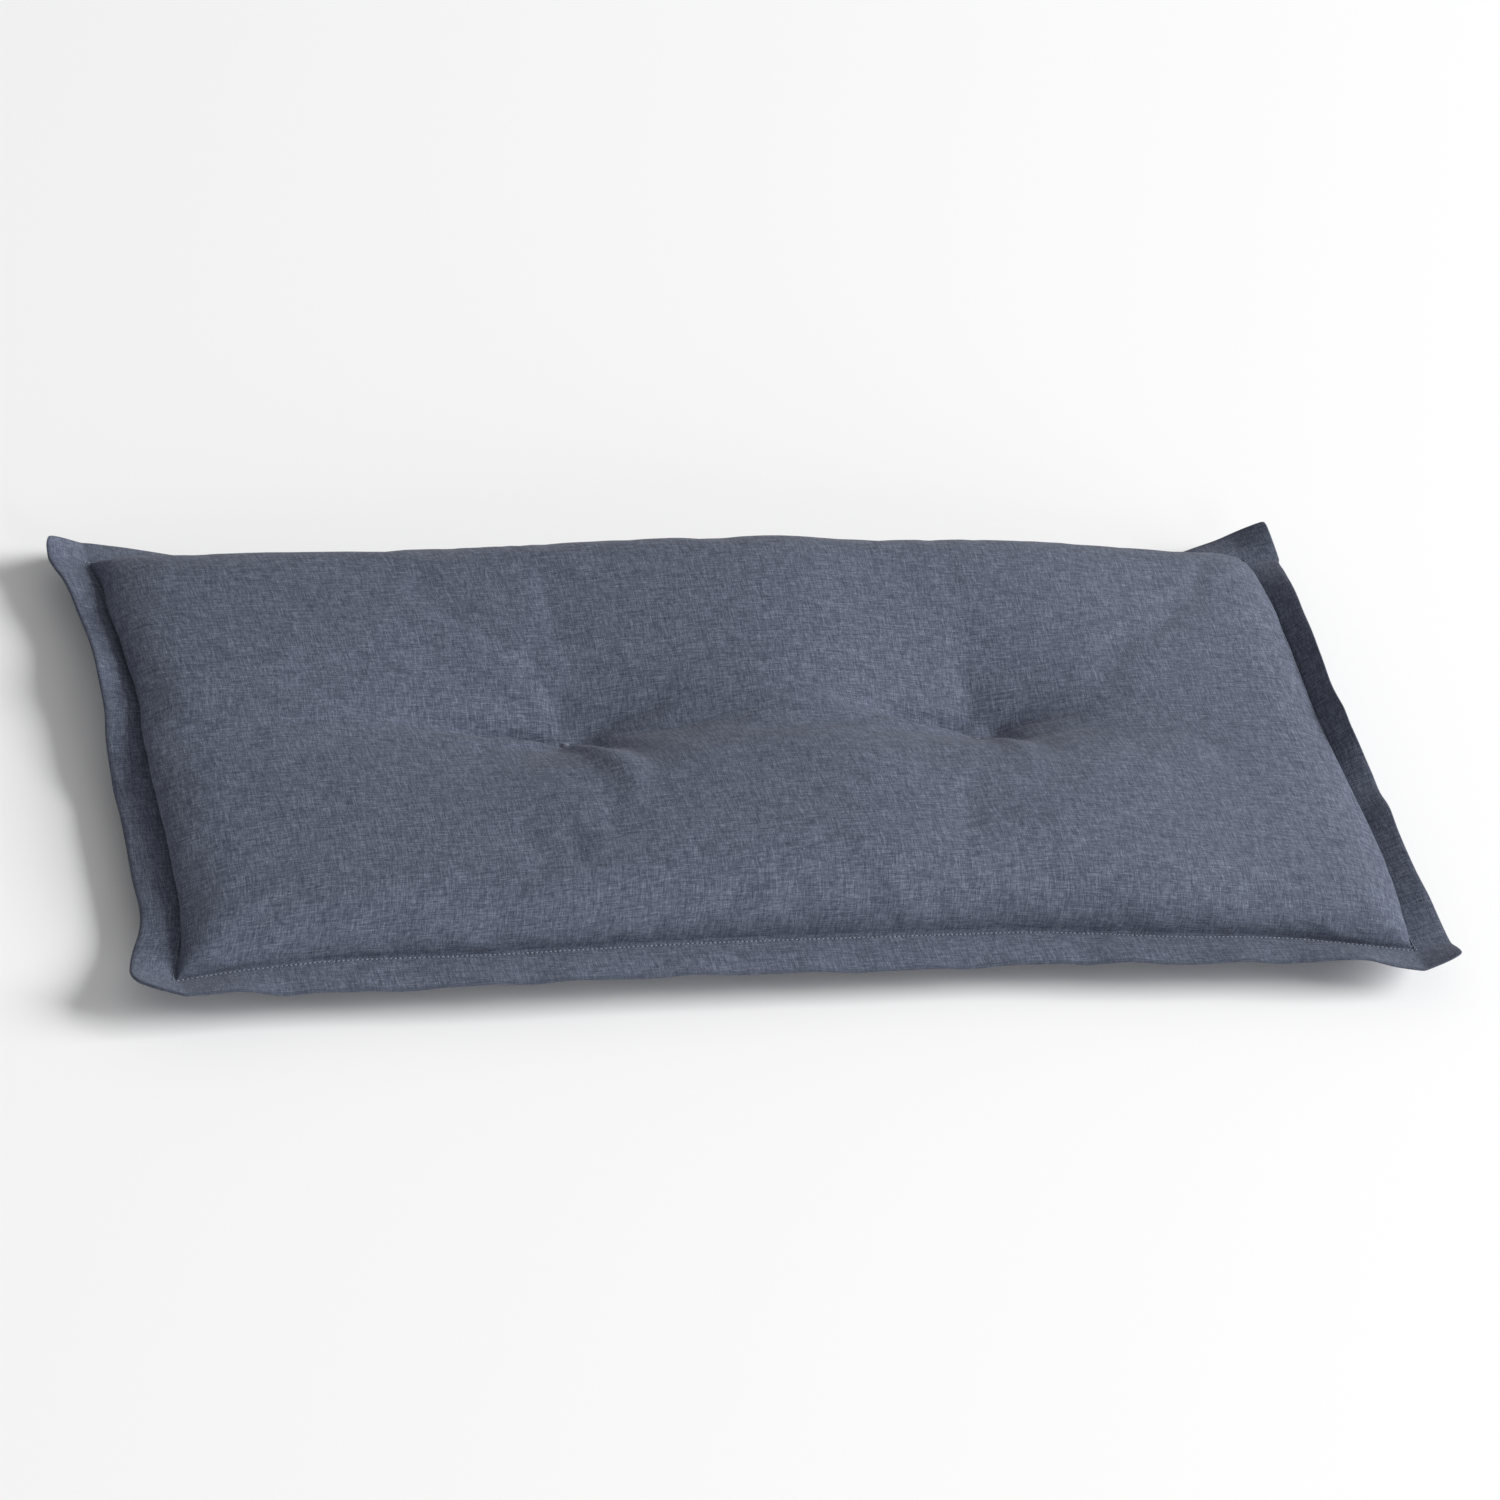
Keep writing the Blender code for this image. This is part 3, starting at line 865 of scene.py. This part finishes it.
# %% [markdown]
# ## The melange cloth
#
# The cloth is woven from yarns that change their shade along their length. So one sees short
# light and dark streaks, half a millimetre wide or so, that run both ways, a little more
# plainly across the cushion's depth. A yarn is a strip of the flat cloth: rounding its place
# down gives the yarn's number, and noise along the yarn, another for each number, gives its
# shade. Strips two yarns wide make the cloth a little uneven on a larger scale, and strips half
# a yarn wide give it its fine grain. The same shades are the relief of the weave. A darker line
# is painted near the edge: painted shade where the cloth turns in round its rounded edge.

# %% Cloth
YARN = 0.00065  # the width of a yarn
SLUB = 0.0120  # the length of a streak
CONTRAST = 0.95
YARN_JUMP = 7.319  # how far apart two neighbouring yarns read the noise
YARN_SLIDE = 0.37
SET_JUMP = 13.7  # the same for two sets of yarns
RELIEF = 0.0006
EDGE_X = SEAM_X - WALL + WALL_CLOTH + BORDER  # half the length of the flat cloth
EDGE_Y = SEAM_Y - WALL + WALL_CLOTH + BORDER
# Painted shade: a darker band along the cloth's edge stands in for the shade of its rounded,
# turned edge.
EDGE_SHADE_NEAR = 0.0004  # the painted shade along the turned edge starts this far inside it
EDGE_SHADE_FAR = 0.0026
EDGE_SHADE_SHARE = 0.45
EDGE_SHADE_COLOUR = (0.035, 0.042, 0.065, 1)
SHADES = (
    (0.00, (0.030, 0.037, 0.064, 1)),
    (0.42, (0.070, 0.083, 0.124, 1)),
    (0.60, (0.100, 0.117, 0.165, 1)),
    (1.00, (0.180, 0.204, 0.270, 1)),
)

Yarns = namedtuple("Yarns", "wide long strength across")
YARNS = (
    Yarns(YARN, SLUB, 0.90, 0),
    Yarns(YARN, SLUB * 1.2, 0.85, 1),
    Yarns(YARN * 2.2, SLUB * 2.5, 0.12, 0),
    Yarns(YARN * 2.0, SLUB * 2.5, 0.12, 1),
    Yarns(YARN / 2, SLUB / 3, 0.85, 0),
    Yarns(YARN / 2, SLUB / 3, 0.85, 1),
)


def yarn_shade(finish, flat_x, flat_y, yarns, number):
    """The shade of one set of yarns around 0, from noise that differs from yarn to yarn."""
    aside, along_yarn = (flat_y, flat_x) if yarns.across else (flat_x, flat_y)
    strip = finish.maths("FLOOR", aside * (1 / yarns.wide), 0)
    place_x = strip * YARN_JUMP + number * SET_JUMP
    place_y = along_yarn * (1 / yarns.long) + strip * YARN_SLIDE
    place = finish.node("ShaderNodeCombineXYZ", {}, {"X": place_x, "Y": place_y})
    noise = finish.node(
        "ShaderNodeTexNoise",
        {"noise_dimensions": "2D"},
        {"Vector": place, "Scale": 1.0, "Detail": 1.0, "Roughness": 0.55},
    )
    return (noise - 0.5) * yarns.strength


def make_cloth():
    """The melange cloth."""
    finish = Finish("melange_cloth")
    flat = finish.node("ShaderNodeUVMap", {"uv_map": "weave"}, {})
    flat_x = finish.node("ShaderNodeSeparateXYZ", {}, {"Vector": flat}, output="X")
    flat_y = finish.node("ShaderNodeSeparateXYZ", {}, {"Vector": flat}, output="Y")
    shade = 0.5
    for number, yarns in enumerate(YARNS):
        shade = shade + yarn_shade(finish, flat_x, flat_y, yarns, number) * CONTRAST
    inside_x = EDGE_X - finish.maths("ABSOLUTE", flat_x, 0)
    inside_y = EDGE_Y - finish.maths("ABSOLUTE", flat_y, 0)
    inside = finish.maths("MINIMUM", inside_x, inside_y)
    # Painted shade along the turned edge: darkest at the edge and fading further in, mixed into
    # the yarn colour.
    line = finish.node(
        "ShaderNodeMapRange",
        {"interpolation_type": "SMOOTHSTEP"},
        {
            "Value": inside,
            "From Min": EDGE_SHADE_NEAR,
            "From Max": EDGE_SHADE_FAR,
            "To Min": EDGE_SHADE_SHARE,
            "To Max": 0.0,
        },
    )
    colour = finish.node(
        "ShaderNodeMix",
        {"data_type": "RGBA"},
        {"Factor": line, "A": finish.ramp(shade, SHADES), "B": EDGE_SHADE_COLOUR},
        output=2,
    )
    relief_sockets = {"Strength": 0.30, "Distance": RELIEF, "Height": shade}
    relief = finish.node("ShaderNodeBump", {}, relief_sockets)
    finish.shade(Base_Color=colour, Normal=relief, Roughness=0.92)
    finish.shade(Sheen_Weight=0.05, Sheen_Roughness=0.5)
    return finish.material


cloth = make_cloth()
cushion.data.materials.clear()
cushion.data.materials.append(cloth)
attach(cushion, "root")
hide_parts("cushion")
print("The cloth is finished")

# %% [markdown]
# ## Stitches
#
# The second seam shows as a line of stitches on both faces of the border, just outside the
# seam. Geometry Nodes sews it: the path is cut into equal steps, and each step gets one
# stitch, which is a short bar, a little turned and wandering as real thread is. The path
# carries two directions at each point: the stitch's heading, and out of the cloth. The same
# tree also winds the few threads of each tuft tack, side by side.

# %% The sewing tree
Sewing = namedtuple("Sewing", "pitch stitch thickness turn wander seed")
TOPSTITCH = Sewing(0.0034, 0.0025, 0.00085, 0.10, 0.00012, 4)
TACKING = Sewing(0.0009, 0.0062, 0.00045, 0.16, 0.00035, 9)
STITCH_SIDES = 6
THREAD_SHADES = (
    (0.3, (0.115, 0.130, 0.175, 1)),
    (0.7, (0.230, 0.250, 0.310, 1)),
)


def thread_finish():
    """Matt sewing thread, a little lighter than the cloth."""
    finish = Finish("sewing_thread")
    place = finish.node("ShaderNodeTexCoord", {}, {}, output="Object")
    noise = finish.node("ShaderNodeTexNoise", {}, {"Vector": place, "Scale": 900.0, "Detail": 1.0})
    finish.shade(Base_Color=finish.ramp(noise, THREAD_SHADES), Roughness=0.75)
    return finish.material


def sewing_tree():
    """A node group that sews along the edges of a mesh."""
    tree = bpy.data.node_groups.new("sewing", "GeometryNodeTree")
    tree.is_modifier = True
    face = tree.interface
    face.new_socket("Path", in_out="INPUT", socket_type="NodeSocketGeometry")
    for name in ("Pitch", "Stitch", "Thickness", "Turn", "Wander"):
        face.new_socket(name, in_out="INPUT", socket_type="NodeSocketFloat")
    face.new_socket("Seed", in_out="INPUT", socket_type="NodeSocketInt")
    face.new_socket("Thread", in_out="INPUT", socket_type="NodeSocketMaterial")
    face.new_socket("Stitches", in_out="OUTPUT", socket_type="NodeSocketGeometry")

    node = partial(new_node, tree)
    given = node("NodeGroupInput", {}, {}).outputs

    def either_way(most):
        """A random value for each stitch, between -most and most."""
        least = node("ShaderNodeMath", {"operation": "MULTIPLY"}, {0: most, 1: -1.0})
        value = node(
            "FunctionNodeRandomValue",
            {"data_type": "FLOAT"},
            {2: least.outputs[0], 3: most, "Seed": given["Seed"]},
        )
        return value.outputs[1]

    curve = node("GeometryNodeMeshToCurve", {}, {"Mesh": given["Path"]})
    steps = node(
        "GeometryNodeResampleCurve",
        {"mode": "LENGTH"},
        {"Curve": curve.outputs["Curve"], "Length": given["Pitch"]},
    )
    vector = {"data_type": "FLOAT_VECTOR"}
    heading = node("GeometryNodeInputNamedAttribute", vector, {"Name": "heading"})
    outwards = node("GeometryNodeInputNamedAttribute", vector, {"Name": "out"})
    bar = node(
        "GeometryNodeMeshCylinder",
        {"fill_type": "NGON"},
        {"Vertices": STITCH_SIDES, "Side Segments": 1, "Radius": 0.5, "Depth": 1.0},
    )
    along_x = {"Geometry": bar.outputs["Mesh"], "Rotation": (0, math.pi / 2, 0)}
    lying = node("GeometryNodeTransform", {}, along_x)
    headed = node(
        "FunctionNodeAlignRotationToVector",
        {"axis": "X"},
        {"Vector": heading.outputs["Attribute"]},
    )
    facing = node(
        "FunctionNodeAlignRotationToVector",
        {"axis": "Z", "pivot_axis": "X"},
        {"Rotation": headed.outputs[0], "Vector": outwards.outputs["Attribute"]},
    )
    around = node("ShaderNodeCombineXYZ", {}, {"Z": either_way(given["Turn"])})
    turned = node(
        "FunctionNodeRotateRotation",
        {"rotation_space": "LOCAL"},
        {"Rotation": facing.outputs[0], "Rotate By": around.outputs[0]},
    )
    size = node(
        "ShaderNodeCombineXYZ",
        {},
        {"X": given["Stitch"], "Y": given["Thickness"], "Z": given["Thickness"]},
    )
    placed = node(
        "GeometryNodeInstanceOnPoints",
        {},
        {
            "Points": steps.outputs["Curve"],
            "Instance": lying.outputs["Geometry"],
            "Rotation": turned.outputs[0],
            "Scale": size.outputs[0],
        },
    )
    aside = node("ShaderNodeCombineXYZ", {}, {"Y": either_way(given["Wander"])})
    wandering = node(
        "GeometryNodeTranslateInstances",
        {},
        {
            "Instances": placed.outputs["Instances"],
            "Translation": aside.outputs[0],
            "Local Space": True,
        },
    )
    real = node("GeometryNodeRealizeInstances", {}, {"Geometry": wandering.outputs["Instances"]})
    coloured = node(
        "GeometryNodeSetMaterial",
        {},
        {"Geometry": real.outputs["Geometry"], "Material": given["Thread"]},
    )
    node("NodeGroupOutput", {}, {"Stitches": coloured.outputs["Geometry"]})
    return tree


SEWING_TREE = sewing_tree()
THREAD = thread_finish()
print("The sewing tree has", len(SEWING_TREE.nodes), "nodes")

# %% [markdown]
# ## Sewing the seams and winding the tacks
#
# A path lies on the finished cloth. The grid tells where: subdivision leaves its points in
# order, so the points of the seam and of the next grid line of the border give both the path
# and, from their neighbours, the direction out of the cloth. A tack's path runs across its
# threads, and each thread is one long stitch along the cushion.

# %% Stitches and tacks
STITCH_OUT = 0.45  # where the stitches lie, between the seam and the next grid line
STITCH_LIFT = 0.30  # how far they stand out of the cloth, as a share of their thickness
TACK_THREADS = 5
TACK_WIDE = 0.0045
TACK_LIFT = 0.6
TACK_CROWN = 0.0006  # the middle thread lies highest
TACK_CURVE = 150

Path = namedtuple("Path", "points heading out")


def sewn(name, paths, closed, plan):
    """A piece that is sewn along paths, each with its stitches' headings and directions out."""
    mesh = bpy.data.meshes.new(name)
    edges = []
    start = 0
    for path in paths:
        count = len(path.points)
        steps = range(count if closed else count - 1)
        edges += [(start + k, start + (k + 1) % count) for k in steps]
        start += count
    mesh.from_pydata(np.concatenate([path.points for path in paths]).tolist(), edges, [])
    for column in ("heading", "out"):
        layer = mesh.attributes.new(column, "FLOAT_VECTOR", "POINT")
        vectors = np.concatenate([getattr(path, column) for path in paths])
        layer.data.foreach_set("vector", vectors.astype(np.float32).ravel())
    piece = bpy.data.objects.new(name, mesh)
    bpy.context.scene.collection.objects.link(piece)
    nodes = piece.modifiers.new("sewing", "NODES")
    nodes.node_group = SEWING_TREE
    inputs = plan._asdict() | {"thread": THREAD}
    for item in SEWING_TREE.interface.items_tree:
        if item.name.lower() in inputs:
            nodes[item.identifier] = inputs[item.name.lower()]
    baked(piece)
    piece.data.shade_smooth()
    return piece


def unit(vectors):
    """The same directions, one metre long."""
    return vectors / np.linalg.norm(vectors, axis=1, keepdims=True)


def seam_path(grid, face):
    """A closed path on the border, just outside the seam of one panel."""
    i, j = ring(SEAM_LINE)
    step_i = 1 * (i == i.max()) - 1 * (i == i.min())
    step_j = 1 * (j == j.max()) - 1 * (j == j.min())
    seam = grid[i, j]
    beside = grid[i + step_i, j + step_j]
    path = seam + (beside - seam) * STITCH_OUT
    ahead = unit(np.roll(path, -1, axis=0) - np.roll(path, 1, axis=0))
    out = unit(np.cross(ahead, seam - beside) * face)
    return Path(path + out * (TOPSTITCH.thickness * STITCH_LIFT), ahead, out)


def tack_path(tuft, grid, side):
    """A path across a tuft's tack, on the top where side is 1 and below where it is -1."""
    place = np.array([tuft.x, tuft.y, 0]) + MOVE
    nearest = np.argmin(np.linalg.norm(grid[..., :2] - place[:2], axis=-1))
    place[2] = grid.reshape(-1, 3)[nearest, 2] + side * TACKING.thickness * TACK_LIFT
    across = np.linspace(-0.5, 0.5, TACK_THREADS) * TACK_WIDE
    lifted = side * (TACK_CROWN - TACK_CURVE * across**2)
    heading = np.tile([1.0, 0.0, 0.0], (TACK_THREADS, 1))
    out = np.tile([0.0, 0.0, float(side)], (TACK_THREADS, 1))
    return Path(place + np.stack([0 * across, across, lifted], axis=-1), heading, out)


final = places_of(cushion.data)
final_upper = final[:size].reshape(COUNT_X, COUNT_Y, 3)
final_lower = final[size:2 * size].reshape(COUNT_X, COUNT_Y, 3)
both_seams = [seam_path(final_upper, 1), seam_path(final_lower, -1)]
topstitch = sewn("topstitch", both_seams, True, TOPSTITCH)
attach(topstitch, "root")
print("The stitches have", len(topstitch.data.polygons), "faces")

for tuft in TUFTS:
    for kind, side, grid in (("tuft", 1, final_upper), ("under", -1, final_lower)):
        name = f"{kind}_tack_{tuft.name}"
        tack = sewn(name + "_threads", [tack_path(tuft, grid, side)], False, TACKING)
        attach(tack, "root")
        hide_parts(name)
        print(tack.name, "has", len(tack.data.polygons), "faces")

# %% [markdown]
# ## Stage and light
#
# The cushion lies on a pale floor in a bright, even surrounding. One large soft light far away
# at the right shapes it: the groove beside the left seam and the raised border at the right
# fall into the shade, and the valley shows. A weak one low in front keeps the front wall
# readable. Both shine at the middle of the floor.

# %% Studio
FLOOR_SIDE = 60
FLOOR_DROP = 0.0005  # keeps the floor from touching the cloth
FLOOR_COLOUR = (0.93, 0.93, 0.93, 1)
WORLD_STRENGTH = 0.34

Light = namedtuple("Light", "name place side watts")
LIGHTS = (
    Light("softbox", (13.5, -1.87, 8.33), 7.8, 3240),
    Light("front", (1.48, -5.51, 1.85), 2.4, 65),
)

floor_mesh = bpy.data.meshes.new("floor")
half = FLOOR_SIDE / 2
floor_corners = [(-half, -half, 0), (half, -half, 0), (half, half, 0), (-half, half, 0)]
floor_mesh.from_pydata(floor_corners, [], [(0, 1, 2, 3)])
floor = bpy.data.objects.new("floor", floor_mesh)
floor.location.z = -FLOOR_DROP
bpy.context.scene.collection.objects.link(floor)
floor_finish = Finish("pale_floor")
floor_finish.shade(Base_Color=FLOOR_COLOUR, Roughness=0.9)
floor_mesh.materials.append(floor_finish.material)

world = bpy.data.worlds.new("studio")
bpy.context.scene.world = world
world.use_nodes = True
background = world.node_tree.nodes["Background"]
background.inputs["Color"].default_value = (1.0, 1.0, 1.0, 1)
background.inputs["Strength"].default_value = WORLD_STRENGTH

for light in LIGHTS:
    data = bpy.data.lights.new(light.name, "AREA")
    data.shape = "SQUARE"
    data.size = light.side
    data.energy = light.watts
    lamp = bpy.data.objects.new(light.name, data)
    lamp.location = light.place
    lamp.rotation_euler = (-Vector(light.place)).to_track_quat("-Z", "Y").to_euler()
    bpy.context.scene.collection.objects.link(lamp)
print("The studio has", len(LIGHTS), "lights")

# %% [markdown]
# ## The camera
#
# The camera looks at the middle of the cushion from nearly four of its lengths away. Its place,
# turn and lens were found from the corners of the seams in the photograph.

# %% Camera
TARGET = Vector((-0.0005, 0.00125, 0.022))
AZIMUTH = math.radians(-23.745)
ELEVATION = math.radians(41.265)
ROLL = math.radians(15.485)
DISTANCE = 3.898
LENS = 125.55
back = Vector((
    math.sin(AZIMUTH) * math.cos(ELEVATION),
    -math.cos(AZIMUTH) * math.cos(ELEVATION),
    math.sin(ELEVATION),
))
level = Vector((math.cos(AZIMUTH), math.sin(AZIMUTH), 0))
upright = back.cross(level)
right = level * math.cos(ROLL) + upright * math.sin(ROLL)
up = upright * math.cos(ROLL) - level * math.sin(ROLL)
camera = bpy.data.objects.new("camera", bpy.data.cameras.new("camera"))
camera.data.lens = LENS
camera.data.sensor_width = 36
camera.data.clip_end = 50
turned = Matrix((right, up, back)).transposed().to_4x4()
camera.matrix_world = Matrix.Translation(TARGET + back * DISTANCE) @ turned
bpy.context.scene.collection.objects.link(camera)
bpy.context.scene.camera = camera
bpy.context.scene.view_settings.view_transform = "Standard"
print("The camera stands at", [round(value, 3) for value in camera.matrix_world.translation])
